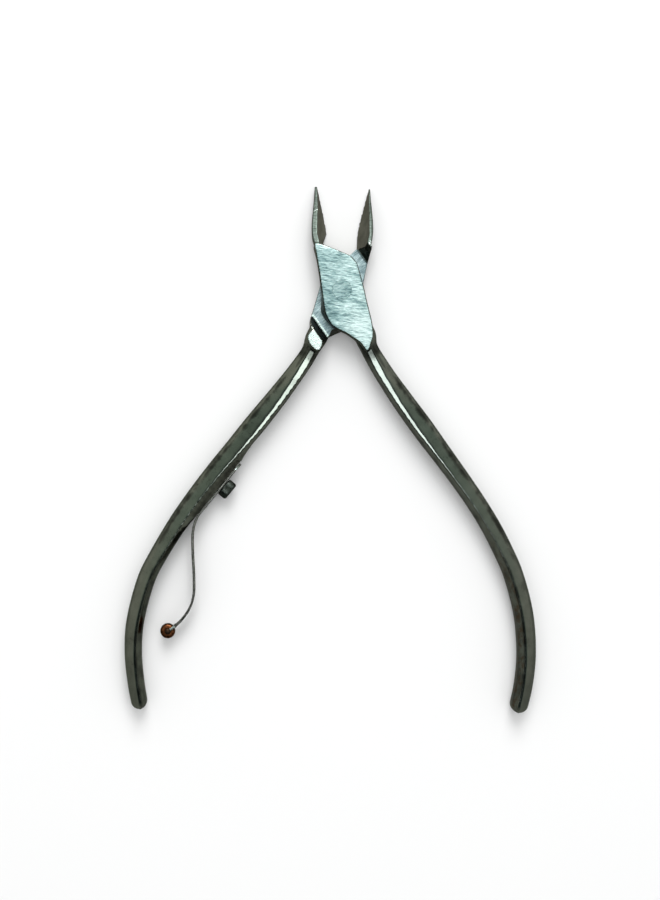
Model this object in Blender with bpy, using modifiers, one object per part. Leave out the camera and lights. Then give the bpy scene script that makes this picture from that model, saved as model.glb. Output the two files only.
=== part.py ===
"""Cuticle nipper with a lap joint, one leaf spring and a roller, lying flat, handles open.

Frame: origin on the pivot axis at the level of the ground back face, +Y towards the jaws,
+X to the right seen from the front, +Z out of the front face. Lengths below are millimetres
and are turned into metres when the meshes are made.
"""

import math

import bmesh
import bpy
import numpy as np
from mathutils import Matrix, Vector

MM = 0.001

# ---- driving dimensions (mm, degrees) --------------------------------------------------
THICK = 6.6  # joint, across both laps
MID = THICK / 2  # the plane where the two laps meet
LAP_GAP = 0.06  # running gap between the laps
JAW_OPEN = {1: 14.2, -1: 13.3}  # angle from closed at rest: front half's jaw, rear's jaw
EDGE_CLEAR = 0.03  # each cutting edge's distance from the closing plane
SLOT_UP = 7.5  # lap slot: pivot to the jaw-side shoulder
SLOT_DOWN = 7.8  # lap slot: pivot to the handle-side shoulder
SLOT_NORMAL = (0.80, 0.60)  # slot's normal on the rear half; the front half's is mirrored
RUN_UP, RUN_DOWN = 2.2, 1.2  # how far each shoulder leans back over half the thickness
RIVET_R, RIVET_HEAD_R, RIVET_FLARE = 1.5, 1.9, 0.45
RIVET_CLEAR = 0.05
END_ROUND = 2.3  # length over which a handle's end rounds off

# spring seat, screw and leaf
SEAT = (-22.85, -39.38)  # point of the seat under the screw
SEAT_DIR = (-0.607, -0.795)  # along the seat, towards the handle's end
SEAT_UP, SEAT_DOWN = 6.1, 10.5  # seat's reach from the screw each way
LEAF_T, LEAF_W = 0.45, 3.4
LEAF_TOP, LEAF_ROOT = 5.6, 7.7  # screw to the leaf's fixed end, and to where it leaves
LEAF_SPLIT = 0.05
LEAF_GAP = 0.03
SCREW_R, SCREW_LEN = 1.0, 2.4
HEAD_R, HEAD_H = 1.85, 1.9
SLOT_W, SLOT_D = 0.5, 0.8
ROLLER = (-32.75, -68.75)
ROLLER_R, ROLLER_L = 1.5, 2.1
EYE_R, PIN_R, PIN_HEAD_R = 0.78, 0.38, 0.6
PIN_CLEAR = 0.04

# each handle's centreline, from inside the joint to its end; the rear one hangs 1 mm lower
FRONT_LINE = [
    (3.4, -5.6), (4.90, -8.6), (6.00, -11.5), (8.85, -16.0), (12.45, -21.0),
    (16.3, -26.0), (20.2, -31.0), (24.1, -36.0), (27.8, -41.0), (31.1, -46.0),
    (33.85, -51.0), (36.15, -56.0), (38.3, -63.5), (39.1, -71.0), (38.75, -77.5),
    (37.6, -83.4),
]
REAR_LINE = [
    (-3.25, -6.4), (-4.85, -9.7), (-6.15, -12.6), (-8.3, -16.0), (-11.85, -21.0),
    (-15.65, -26.0), (-19.55, -31.0), (-24.1, -36.7), (-27.9, -41.9), (-31.2, -47.0),
    (-35.2, -54.0), (-37.45, -59.0), (-39.25, -66.8), (-39.5, -73.3), (-38.75, -79.5),
    (-37.65, -84.8),
]
# distance along the handle -> half thickness, height, ridge offset, inner flat, ridge softness
HANDLE_TABLE = [
    (0.0, 2.05, 7.4, -0.20, 1.7, 0.20),
    (3.4, 2.15, 7.2, -0.30, 1.7, 0.20),
    (6.5, 1.70, 6.9, -0.45, 1.8, 0.20),
    (9.5, 1.78, 6.50, -0.60, 1.9, 0.20),
    (13.0, 1.88, 6.30, -0.75, 1.9, 0.20),
    (18.5, 2.07, 6.35, -1.00, 1.9, 0.20),
    (25.0, 2.18, 6.50, -1.10, 1.9, 0.20),
    (31.5, 2.04, 6.60, -1.00, 1.9, 0.22),
    (38.0, 1.92, 6.60, -0.95, 1.9, 0.24),
    (45.0, 1.87, 6.60, -0.90, 1.9, 0.25),
    (56.0, 1.91, 6.60, -0.60, 1.8, 0.35),
    (70.0, 1.88, 6.60, -0.30, 1.7, 0.45),
    (80.0, 1.80, 6.60, -0.15, 1.6, 0.48),
    (90.0, 1.68, 6.60, -0.10, 1.5, 0.48),
]
# the rear handle's half thickness over the front one's, along its length
REAR_SLIM = [(0.0, 1.0), (48.0, 1.0), (60.0, 0.93), (90.0, 0.92)]
# the ground face of the front half: jaw side, right side, handle tip, crotch, left side
FACE = [
    (-5.45, 9.15), (-3.74, 8.79), (-1.68, 8.08), (0.14, 7.37), (1.15, 6.98),
    (1.75, 6.62), (2.77, 5.45), (3.20, 4.30), (3.62, 3.00), (4.05, 1.60),
    (4.45, 0.10), (4.90, -1.70), (5.50, -3.90), (6.05, -5.90), (6.38, -7.70),
    (6.40, -9.30), (6.05, -10.50), (5.80, -11.50), (5.25, -12.00), (4.55, -11.20),
    (3.70, -10.30), (2.65, -9.60), (1.16, -8.68), (-0.19, -8.06), (-1.21, -7.55),
    (-1.95, -6.95), (-2.65, -5.85), (-3.20, -4.70), (-3.52, -3.30), (-3.82, -1.50),
    (-4.17, 0.49), (-4.49, 2.48), (-4.80, 4.20), (-5.20, 6.20), (-5.50, 7.60),
    (-5.72, 8.60),
]
# the rear half's, mirrored, has a deeper corner between its jaw and its lap
REAR_FACE = [(-5.45, 9.15), (-4.10, 8.80), (-2.75, 8.38), (-1.50, 7.25), (0.00, 6.85), (1.75, 6.40)] + FACE[6:]
# a jaw, closed: distance from the pivot -> outer half width, rim, edge offset, and the
# heights of the edge, the rim and the widest line
JAW_TABLE = [
    (6.5, 2.90, 2.30, 1.50, 0.50, 6.60, 3.30),
    (8.0, 3.15, 2.30, 1.15, 0.45, 6.60, 3.30),
    (9.5, 3.30, 2.30, 0.75, 0.42, 6.50, 3.30),
    (10.6, 3.30, 2.35, 0.50, 0.40, 6.30, 3.20),
    (11.8, 3.20, 2.35, 0.22, 0.40, 6.00, 3.10),
    (13.0, 3.00, 2.15, 0.10, 0.42, 5.60, 2.90),
    (14.5, 2.62, 1.78, 0.05, 0.50, 5.00, 2.65),
    (16.0, 2.15, 1.40, 0.03, 0.60, 4.35, 2.40),
    (17.5, 1.64, 1.00, 0.03, 0.72, 3.62, 2.12),
    (19.0, 1.12, 0.64, 0.03, 0.88, 2.85, 1.85),
    (20.2, 0.74, 0.40, 0.03, 1.02, 2.25, 1.65),
    (21.0, 0.50, 0.27, 0.03, 1.14, 1.88, 1.50),
    (21.4, 0.36, 0.20, 0.03, 1.22, 1.65, 1.42),
]
# the leaf's free run, from where it leaves its seat to the roller's eye
LEAF_LINE = [
    (-28.00, -47.30), (-28.30, -49.00), (-28.34, -50.60), (-28.16, -53.80),
    (-27.90, -57.00), (-27.76, -60.20), (-27.85, -61.80), (-28.25, -63.40),
    (-29.00, -65.00), (-30.15, -66.60), (-31.35, -67.75),
]
# extra thickness of the rear handle's inner side around the seat: distance -> mm
SEAT_BULGE = [(28.0, 0.0), (31.0, 0.35), (33.6, 0.95), (36.0, 1.0), (45.0, 0.8), (48.5, 0.2), (51.0, 0.0)]

# ---- small tools ------------------------------------------------------------------------


def smooth_table(table, x):
    """Rows of (x, a, b, ...) read at x by a cubic through them that doesn't overshoot."""
    t = np.array(table, float)
    xs, ys = t[:, 0], t[:, 1:]
    x = min(max(x, xs[0]), xs[-1])
    i = min(int(np.searchsorted(xs, x, side="right")) - 1, len(xs) - 2)
    h = np.diff(xs)
    d = np.diff(ys, axis=0) / h[:, None]
    m = np.zeros_like(ys)
    m[0], m[-1] = d[0], d[-1]
    for k in range(1, len(xs) - 1):
        same = d[k - 1] * d[k] > 0
        w1, w2 = 2 * h[k] + h[k - 1], h[k] + 2 * h[k - 1]
        with np.errstate(divide="ignore", invalid="ignore"):
            mean = (w1 + w2) / (w1 / d[k - 1] + w2 / d[k])
        m[k] = np.where(same, mean, 0.0)
    u = (x - xs[i]) / h[i]
    return (
        (2 * u**3 - 3 * u**2 + 1) * ys[i]
        + (u**3 - 2 * u**2 + u) * h[i] * m[i]
        + (-2 * u**3 + 3 * u**2) * ys[i + 1]
        + (u**3 - u**2) * h[i] * m[i + 1]
    )


class Line:
    """A smooth curve through points, read by distance along it."""

    def __init__(self, points, closed=False):
        p = np.array(points, float)
        if closed:
            p = np.vstack([p[-1], p, p[0], p[1]])
        else:
            p = np.vstack([2 * p[0] - p[1], p, 2 * p[-1] - p[-2]])
        out = []
        for i in range(1, len(p) - 2):
            for u in np.linspace(0, 1, 24, endpoint=False):
                out.append(
                    0.5
                    * (
                        2 * p[i]
                        + (p[i + 1] - p[i - 1]) * u
                        + (2 * p[i - 1] - 5 * p[i] + 4 * p[i + 1] - p[i + 2]) * u * u
                        + (3 * p[i] - p[i - 1] - 3 * p[i + 1] + p[i + 2]) * u**3
                    )
                )
        out.append(p[-2])
        self.p = np.array(out)
        self.s = np.concatenate(
            [[0], np.cumsum(np.linalg.norm(np.diff(self.p, axis=0), axis=1))]
        )
        self.length = float(self.s[-1])

    def at(self, s):
        return np.array([np.interp(s, self.s, self.p[:, k]) for k in range(2)])

    def tangent(self, s):
        d = self.at(min(s + 0.25, self.length)) - self.at(max(s - 0.25, 0))
        return d / np.linalg.norm(d)


def softened(corners, steps):
    """A polygon whose corners (n, z, softness) are rounded by cutting back each side."""
    out = []
    for i, (n, z, f) in enumerate(corners):
        c = np.array((n, z))
        a = np.array(corners[i - 1][:2])
        b = np.array(corners[(i + 1) % len(corners)][:2])
        start, end = c + (a - c) * f, c + (b - c) * f
        for u in np.linspace(0, 1, steps + 1):
            out.append((1 - u) ** 2 * start + 2 * u * (1 - u) * c + u * u * end)
    return out


def bezier(a, c, b, steps):
    a, c, b = (np.array(v, float) for v in (a, c, b))
    return [(1 - u) ** 2 * a + 2 * u * (1 - u) * c + u * u * b for u in np.linspace(0, 1, steps + 1)]


def collection(name):
    c = bpy.data.collections.new(name)
    bpy.context.scene.collection.children.link(c)
    return c


def material(name, colour, roughness, metallic):
    m = bpy.data.materials.new(name)
    m.use_nodes = True
    b = m.node_tree.nodes["Principled BSDF"]
    b.inputs["Base Color"].default_value = (*colour, 1)
    b.inputs["Roughness"].default_value = roughness
    b.inputs["Metallic"].default_value = metallic
    return m


def mesh_object(name, bm, where, mat=None, origin=(0, 0, 0)):
    """bm is in millimetres in the part's frame; the object's origin is put at origin."""
    bmesh.ops.recalc_face_normals(bm, faces=bm.faces)
    bmesh.ops.transform(bm, matrix=Matrix.Translation(-Vector(origin)), verts=bm.verts)
    bmesh.ops.scale(bm, vec=(MM, MM, MM), verts=bm.verts)
    me = bpy.data.meshes.new(name)
    bm.to_mesh(me)
    bm.free()
    o = bpy.data.objects.new(name, me)
    o.location = Vector(origin) * MM
    where.objects.link(o)
    if mat:
        me.materials.append(mat)
    return o


def loft(rings):
    """A closed body through rings with the same number of points."""
    bm = bmesh.new()
    rows = [[bm.verts.new(p) for p in ring] for ring in rings]
    for a, b in zip(rows, rows[1:]):
        for i in range(len(a)):
            j = (i + 1) % len(a)
            bm.faces.new((a[i], a[j], b[j], b[i]))
    bm.faces.new(rows[0][::-1])
    bm.faces.new(rows[-1])
    return bm


def prism(outline, z0, z1):
    """A flat outline made thick, from a filled 2D curve with an extrude."""
    curve = bpy.data.curves.new("outline", "CURVE")
    curve.dimensions = "2D"
    curve.fill_mode = "BOTH"
    curve.extrude = (z1 - z0) / 2 * MM
    spline = curve.splines.new("POLY")
    spline.points.add(len(outline) - 1)
    for point, (x, y) in zip(spline.points, outline):
        point.co = (x * MM, y * MM, 0, 1)
    spline.use_cyclic_u = True
    o = bpy.data.objects.new("outline", curve)
    bpy.context.scene.collection.objects.link(o)
    bpy.context.view_layer.update()
    me = bpy.data.meshes.new_from_object(
        o.evaluated_get(bpy.context.evaluated_depsgraph_get())
    )
    bpy.data.objects.remove(o)
    bm = bmesh.new()
    bm.from_mesh(me)
    bpy.data.meshes.remove(me)
    bmesh.ops.remove_doubles(bm, verts=bm.verts, dist=1e-6)
    bmesh.ops.scale(bm, vec=(1 / MM,) * 3, verts=bm.verts)
    bmesh.ops.translate(bm, vec=(0, 0, (z0 + z1) / 2), verts=bm.verts)
    return bm


def turned(name, profile, where, mat, steps=32):
    """A body turned about its own Z from a profile of (radius, z), outer side top to bottom."""
    bm = bmesh.new()
    verts = [bm.verts.new((r * MM, 0, z * MM)) for r, z in profile]
    for a, b in zip(verts, verts[1:]):
        bm.edges.new((a, b))
    me = bpy.data.meshes.new(name)
    bm.to_mesh(me)
    bm.free()
    o = bpy.data.objects.new(name, me)
    where.objects.link(o)
    s = o.modifiers.new("turn", "SCREW")
    s.steps = s.render_steps = steps
    s.use_merge_vertices = True
    s.merge_threshold = 1e-6
    s.use_smooth_shade = False
    if mat:
        me.materials.append(mat)
    return o


def cut(o, cutter, operation="DIFFERENCE"):
    m = o.modifiers.new(operation.lower(), "BOOLEAN")
    m.operation = operation
    m.solver = "EXACT"
    m.object = cutter


def as_cutter(o):
    o.hide_render = True
    o.display_type = "WIRE"
    return o


def round_shading(o, degrees=35):
    o.data.shade_smooth()
    o.data.set_sharp_from_angle(angle=math.radians(degrees))


# ---- shapes shared by the two halves ----------------------------------------------------


def handle_rings(side, steps=2, stations=34, bulge=None):
    """Sections down one handle. side is +1 for the front half, -1 for the rear one."""
    line = Line(FRONT_LINE if side > 0 else REAR_LINE)
    body = np.linspace(0, line.length - END_ROUND, stations)
    ends = [line.length - END_ROUND * (1 - u) for u in (0.30, 0.55, 0.75, 0.90, 0.985)]
    rings = []
    for s in [*body, *ends]:
        t, height, ridge, flat, soft = smooth_table(HANDLE_TABLE, s)
        if side < 0:
            t *= float(smooth_table(REAR_SLIM, s)[0])
        extra = float(smooth_table(bulge, s)[0]) if bulge else 0.0
        h = height / 2
        lower = 0.9 if s > 6 else 0.9 * s / 6
        corners = [
            (-t - extra, -flat, 0.22), (-t - extra, flat, 0.22), (ridge, h, soft),
            (t - 0.85, h - lower, 0.45), (t, 1.15, 0.45), (t, -1.15, 0.45),
            (t - 0.85, -h + lower, 0.45), (ridge, -h, soft),
        ]
        u = max(0.0, (s - (line.length - END_ROUND)) / END_ROUND)
        narrow, low = math.sqrt(1 - u * u), math.sqrt(1 - (0.8 * u) ** 2)
        p, d = line.at(s), line.tangent(s)
        out = side * np.array((-d[1], d[0])) * 1.0
        if out[0] * side < 0:
            out = -out
        ring = []
        for n, z in softened(corners, steps):
            q = p + out * n * narrow
            ring.append((q[0], q[1], min(max(MID + z * low, 0.0), THICK)))
        rings.append(ring)
    return rings


def jaw_rings(side, steps=3, stations=None):
    """Sections up one jaw, opened to its rest angle. side is -1 for the front half's jaw."""
    a = math.radians(JAW_OPEN[-side]) * -side
    rings = []
    for r in stations or [row[0] for row in JAW_TABLE]:
        w, rim, edge, ze, zr, zw = smooth_table(JAW_TABLE, r)
        outer = bezier((edge, ze), (w * 0.92, ze + 0.3 * (zw - ze)), (w, zw), steps)
        upper = bezier((w, zw), (w, zw + 0.78 * (zr - zw)), (rim, zr), steps)
        hollow = bezier(
            (rim, zr), (edge + 0.80 * (rim - edge), ze + 0.36 * (zr - ze)), (edge, ze), steps
        )
        ring = []
        for n, z in [*outer[:-1], *upper[:-1], *hollow[:-1]]:
            x = side * n
            ring.append((x * math.cos(a) - r * math.sin(a), x * math.sin(a) + r * math.cos(a), z))
        rings.append(ring)
    return rings


def slot_cutter(side, where):
    """The lap slot: a channel milled square across one half, its shoulders leaning back."""
    z_lap, z_out = (MID + LAP_GAP / 2, -1.0) if side > 0 else (MID - LAP_GAP / 2, THICK + 1.0)
    n = np.array((-side * SLOT_NORMAL[0], SLOT_NORMAL[1]))
    n = n / np.linalg.norm(n)
    along = np.array((-n[1], n[0]))
    up, down = (run / MID * abs(z_out - z_lap) for run in (RUN_UP, RUN_DOWN))
    rings = []
    for k in (-16.0, 16.0):
        profile = [
            (SLOT_UP, z_lap), (SLOT_UP + up, z_out),
            (-SLOT_DOWN - down, z_out), (-SLOT_DOWN, z_lap),
        ]
        rings.append([(*(n * c + along * k), z) for c, z in profile])
    return as_cutter(mesh_object("lap_slot_" + ("front" if side > 0 else "rear"), loft(rings), where))


def half(name, side, where, cutters, mat):
    """One forged half. side +1: left jaw, top lap, right handle. side -1: the other one."""
    face = FACE if side > 0 else REAR_FACE
    outline = [(side * x, y) for x, y in Line(face, closed=True).p[::8]]
    o = mesh_object(name, prism(outline, 0.0, THICK), where, mat)
    edge = o.modifiers.new("edge", "BEVEL")
    edge.width = 0.18 * MM
    edge.segments = 1
    edge.limit_method = "ANGLE"
    edge.angle_limit = math.radians(60)
    bulge = SEAT_BULGE if side < 0 else None
    handle = mesh_object(name + "_handle", loft(handle_rings(side, bulge=bulge)), cutters)
    jaw = mesh_object(name + "_jaw", loft(jaw_rings(-side)), cutters)
    cut(o, as_cutter(handle), "UNION")
    cut(o, as_cutter(jaw), "UNION")
    cut(o, slot_cutter(side, cutters))
    return o


def rivet_profile(clear=0.0, over=0.0):
    r, head, flare = RIVET_R + clear, RIVET_HEAD_R + clear, RIVET_FLARE
    top = [(head, THICK + over), (head, THICK)] if over else [(head, THICK)]
    bottom = [(head, 0.0), (head, -over)] if over else [(head, 0.0)]
    return [(0, THICK + over), *top, (r, THICK - flare), (r, flare), *bottom, (0, -over)]


def along_seat(s, off=0.0, z=MID):
    """A point s down the seat from the screw and off above the seat's surface."""
    u = np.array(SEAT_DIR) / np.linalg.norm(SEAT_DIR)
    m = np.array((-u[1], u[0]))
    p = np.array(SEAT) + u * s + m * off
    return Vector((p[0], p[1], z))


def seat_matrix(off):
    """Local X across the tool's thickness, local Z standing off the seat."""
    u = Vector((*SEAT_DIR, 0)).normalized()
    m = Vector((-u.y, u.x, 0))
    x = Vector((0, 0, 1))
    rot = Matrix((x, m.cross(x), m)).transposed().to_4x4()
    return Matrix.Translation(along_seat(0, off) * MM) @ rot


def ribbon(line, s0, s1, count, thick):
    left, right = [], []
    for s in np.linspace(s0, s1, count):
        p, d = line.at(s), line.tangent(s)
        n = np.array((-d[1], d[0])) * thick / 2
        left.append(tuple(p + n))
        right.append(tuple(p - n))
    return left + right[::-1]


def cylinder(name, radius, z0, z1, centre, where, steps=24):
    bm = bmesh.new()
    bmesh.ops.create_cone(
        bm, cap_ends=True, segments=steps, radius1=radius, radius2=radius, depth=z1 - z0
    )
    bmesh.ops.translate(bm, vec=(*centre, (z0 + z1) / 2), verts=bm.verts)
    return as_cutter(mesh_object(name, bm, where))


def block(name, size, matrix, where):
    bm = bmesh.new()
    bmesh.ops.create_cube(bm, size=1)
    bmesh.ops.scale(bm, vec=size, verts=bm.verts)
    o = mesh_object(name, bm, where)
    o.matrix_world = matrix
    return as_cutter(o)


# ---- the part ---------------------------------------------------------------------------


def main():
    for o in list(bpy.data.objects):
        bpy.data.objects.remove(o)
    parts, cutters = collection("cuticle_nipper"), collection("cutters")
    steel = material("polished_steel", (0.36, 0.38, 0.35), 0.22, 1.0)
    steel_2 = material("polished_steel_rear", (0.36, 0.38, 0.35), 0.22, 1.0)
    ground = material("ground_steel", (0.62, 0.68, 0.68), 0.40, 1.0)
    spring_steel = material("spring_steel", (0.20, 0.21, 0.20), 0.35, 1.0)
    spring_steel_2 = material("spring_steel_leaf", (0.20, 0.21, 0.20), 0.35, 1.0)
    screw_steel = material("screw_steel", (0.14, 0.15, 0.14), 0.35, 1.0)
    pin_steel = material("pin_steel", (0.40, 0.38, 0.35), 0.30, 1.0)
    copper = material("copper", (0.45, 0.20, 0.09), 0.35, 1.0)

    # the two halves on the pivot
    front = half("front_half", 1, parts, cutters, steel)
    rear = half("rear_half", -1, parts, cutters, steel_2)
    hole = as_cutter(turned("rivet_hole", rivet_profile(RIVET_CLEAR, 1.0), cutters, None, 36))
    cut(front, hole)
    cut(rear, hole)
    rivet = turned("joint_rivet", rivet_profile(), parts, ground, 36)
    round_shading(rivet)

    # the spring seat, milled flat on the rear handle's inner side, with the screw's hole
    u = Vector((*SEAT_DIR, 0)).normalized()
    middle = (SEAT_DOWN - SEAT_UP) / 2
    seat_axes = seat_matrix(0)
    seat_axes.translation = along_seat(middle, 3.0) * MM
    cut(rear, block("seat_flat", (12.0, SEAT_UP + SEAT_DOWN, 6.0), seat_axes, cutters))
    bore = turned(
        "screw_hole",
        [(0, 1.0), (SCREW_R + 0.05, 1.0), (SCREW_R + 0.05, -SCREW_LEN - 0.3), (0, -SCREW_LEN - 0.6)],
        cutters, None, 24,
    )
    bore.matrix_world = seat_matrix(0)
    cut(rear, as_cutter(bore))

    # the leaf's fixed end: a strip on the seat, rounded at the top, with the screw's hole
    half_t = LEAF_T / 2
    bm = bmesh.new()
    outline = []
    tip = LEAF_TOP - LEAF_W / 2
    for k in range(9):
        a = math.pi * k / 8
        outline.append((LEAF_W / 2 * math.cos(a), tip + LEAF_W / 2 * math.sin(a)))
    outline += [(-LEAF_W / 2, -LEAF_ROOT + LEAF_SPLIT), (LEAF_W / 2, -LEAF_ROOT + LEAF_SPLIT)]
    bm.free()
    bm = prism(outline, LEAF_GAP, LEAF_GAP + LEAF_T)
    clamp = mesh_object("spring_clamped_end", bm, parts, spring_steel)
    # local Y of the strip's outline runs up the seat, away from the handle's end
    m = seat_matrix(0)
    x, y, z = (Vector((0, 0, 1)), -u, Vector((-u.y, u.x, 0)))
    if x.cross(y).dot(z) < 0:
        x = -x
    clamp.matrix_world = (
        Matrix.Translation(along_seat(0) * MM) @ Matrix((x, y, z)).transposed().to_4x4()
    )
    strip_hole = turned(
        "strip_hole", [(0, 2), (SCREW_R + 0.12, 2), (SCREW_R + 0.12, -1), (0, -1)], cutters, None, 24
    )
    strip_hole.matrix_world = m
    cut(clamp, as_cutter(strip_hole))

    # the screw: slotted cheese head on the strip, shank into the handle
    base = LEAF_GAP * 2 + LEAF_T
    screw = turned(
        "spring_screw",
        [
            (0, base + HEAD_H), (HEAD_R - 0.3, base + HEAD_H), (HEAD_R, base + HEAD_H - 0.3),
            (HEAD_R, base + 0.12), (HEAD_R - 0.12, base), (SCREW_R, base),
            (SCREW_R, -SCREW_LEN + 0.3), (SCREW_R - 0.3, -SCREW_LEN), (0, -SCREW_LEN),
        ],
        parts, screw_steel, 32,
    )
    screw.matrix_world = m
    slot_at = m @ Matrix.Translation((0, 0, (base + HEAD_H - SLOT_D + 2.0) * MM)) @ Matrix.Rotation(math.radians(25), 4, "Z")
    cut(screw, block("driver_slot", (SLOT_W, 6.0, 4.0), slot_at, cutters))
    round_shading(screw)

    # the leaf: from the seat out to a forked eye that carries the roller
    root = along_seat(LEAF_ROOT, LEAF_GAP + half_t)
    before = along_seat(LEAF_ROOT - 0.6, LEAF_GAP + half_t)
    points = [(root.x, root.y), *LEAF_LINE, ROLLER]
    line = Line([(before.x, before.y), *points])
    start = 0.6
    stop = line.length - EYE_R * 0.9
    leaf = mesh_object(
        "spring_leaf", prism(ribbon(line, start, stop, 30, LEAF_T), MID - LEAF_W / 2, MID + LEAF_W / 2),
        parts, spring_steel_2, origin=(root.x, root.y, MID),
    )
    eye = cylinder("leaf_eye", EYE_R, MID - LEAF_W / 2 + 0.001, MID + LEAF_W / 2 - 0.001, ROLLER, cutters)
    cut(leaf, eye, "UNION")
    window = cylinder("roller_window", ROLLER_R + 0.35, MID - ROLLER_L / 2 - 0.08, MID + ROLLER_L / 2 + 0.08, ROLLER, cutters)
    cut(leaf, window)
    cut(leaf, cylinder("pin_hole", PIN_R + PIN_CLEAR, -1, THICK + 1, ROLLER, cutters, 16))

    # roller and its pin
    r, l = ROLLER_R, ROLLER_L / 2
    bore_r = PIN_R + PIN_CLEAR
    roller = turned(
        "roller",
        [(bore_r, l), (r - 0.3, l), (r - 0.06, l - 0.22), (r, 0), (r - 0.06, -l + 0.22), (r - 0.3, -l), (bore_r, -l), (bore_r, l)],
        parts, copper, 32,
    )
    roller.location = Vector((*ROLLER, MID)) * MM
    round_shading(roller)
    q = LEAF_W / 2 + 0.03
    pin = turned(
        "roller_pin",
        [
            (0, q + 0.25), (PIN_HEAD_R - 0.15, q + 0.25), (PIN_HEAD_R, q + 0.1), (PIN_HEAD_R, q),
            (PIN_R, q), (PIN_R, -q), (PIN_HEAD_R, -q), (PIN_HEAD_R, -q - 0.1),
            (PIN_HEAD_R - 0.15, -q - 0.25), (0, -q - 0.25),
        ],
        parts, pin_steel, 20,
    )
    pin.location = Vector((*ROLLER, MID)) * MM
    round_shading(pin)
    for o in (front, rear, leaf, clamp):
        round_shading(o)


main()
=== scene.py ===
"""Cuticle nipper: the fine surface, materials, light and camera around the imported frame."""

import math

import bmesh
import bpy
import numpy as np
from mathutils import Matrix, Vector
from mathutils.bvhtree import BVHTree


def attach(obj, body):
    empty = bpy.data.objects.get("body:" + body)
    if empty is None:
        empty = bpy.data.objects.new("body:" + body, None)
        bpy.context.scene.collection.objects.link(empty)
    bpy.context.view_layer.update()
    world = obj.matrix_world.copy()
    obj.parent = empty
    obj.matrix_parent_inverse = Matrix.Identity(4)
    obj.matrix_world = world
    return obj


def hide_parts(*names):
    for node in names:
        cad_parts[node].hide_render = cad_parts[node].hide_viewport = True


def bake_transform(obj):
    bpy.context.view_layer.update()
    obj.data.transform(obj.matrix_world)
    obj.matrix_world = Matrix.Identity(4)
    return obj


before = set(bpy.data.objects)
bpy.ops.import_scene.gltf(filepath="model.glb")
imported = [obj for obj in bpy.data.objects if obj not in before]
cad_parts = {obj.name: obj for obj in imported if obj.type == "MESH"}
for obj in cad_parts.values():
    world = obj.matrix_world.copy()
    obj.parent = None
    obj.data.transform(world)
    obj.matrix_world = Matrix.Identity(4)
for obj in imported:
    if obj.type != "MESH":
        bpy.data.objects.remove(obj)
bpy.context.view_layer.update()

MM = 0.001
THICK, MID, LAP_GAP = 6.6, 3.3, 0.06
JAW_OPEN = {1: 14.2, -1: 13.3}
SLOT_UP, SLOT_DOWN, SLOT_NORMAL = 7.5, 7.8, (0.80, 0.60)
RUN_UP, RUN_DOWN = 2.2, 1.2
VOXEL = 0.125

SEAT, SEAT_DIR = (-22.85, -39.38), (-0.607, -0.795)
SEAT_UP, SEAT_DOWN = 6.1, 10.5
LEAF_T, LEAF_W, LEAF_TOP, LEAF_ROOT, LEAF_GAP = 0.45, 3.4, 5.6, 7.7, 0.03
SCREW_R, SCREW_LEN, HEAD_R, HEAD_H = 1.0, 2.4, 1.85, 1.9
SLOT_W, SLOT_D = 0.5, 0.8
ROLLER, ROLLER_R, ROLLER_L = (-32.75, -68.75), 1.5, 2.1

FRONT_LINE = [
    (3.4, -5.6), (4.90, -8.6), (6.00, -11.5), (8.85, -16.0), (12.45, -21.0),
    (16.3, -26.0), (20.2, -31.0), (24.1, -36.0), (27.8, -41.0), (31.1, -46.0),
    (33.85, -51.0), (36.15, -56.0), (38.3, -63.5), (39.1, -71.0), (38.75, -77.5),
    (37.6, -83.4),
]
REAR_LINE = [
    (-3.25, -6.4), (-4.85, -9.7), (-6.15, -12.6), (-8.3, -16.0), (-11.85, -21.0),
    (-15.65, -26.0), (-19.55, -31.0), (-24.1, -36.7), (-27.9, -41.9), (-31.2, -47.0),
    (-35.2, -54.0), (-37.45, -59.0), (-39.25, -66.8), (-39.5, -73.1), (-38.80, -79.1),
    (-37.72, -84.35),
]
# distance -> half thickness, height, ridge's offset, ridge's flat width, inner flat, softness
HANDLE = [
    (0.0, 2.05, 6.10, -0.20, 0.60, 1.6, 0.20),
    (3.4, 2.15, 6.00, -0.30, 0.60, 1.6, 0.20),
    (6.5, 1.70, 6.00, -0.35, 1.30, 1.7, 0.20),
    (9.5, 1.78, 6.20, -0.55, 1.52, 1.8, 0.20),
    (13.0, 1.88, 6.25, -0.76, 1.30, 1.9, 0.20),
    (18.5, 2.07, 6.35, -1.06, 1.02, 1.9, 0.20),
    (25.0, 2.18, 6.50, -1.24, 0.78, 1.9, 0.20),
    (31.5, 2.04, 6.60, -1.16, 0.54, 1.9, 0.22),
    (38.0, 1.92, 6.60, -1.05, 0.30, 1.9, 0.24),
    (45.0, 1.87, 6.60, -0.94, 0.12, 1.9, 0.26),
    (52.0, 1.90, 6.60, -0.86, 0.18, 1.8, 0.26),
    (60.0, 1.90, 6.60, -0.78, 0.40, 1.8, 0.26),
    (70.0, 1.88, 6.60, -0.66, 0.52, 1.7, 0.26),
    (80.0, 1.80, 6.60, -0.46, 0.62, 1.6, 0.26),
    (90.0, 1.68, 6.60, -0.30, 0.66, 1.5, 0.26),
]
REAR_SLIM = [(0.0, 1.0), (48.0, 1.0), (60.0, 0.93), (90.0, 0.92)]
SEAT_BULGE = [(28.0, 0.0), (31.0, 0.35), (33.6, 0.95), (36.0, 1.0), (45.0, 0.8), (48.5, 0.2), (51.0, 0.0)]
END_ROUND = 1.7
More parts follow.
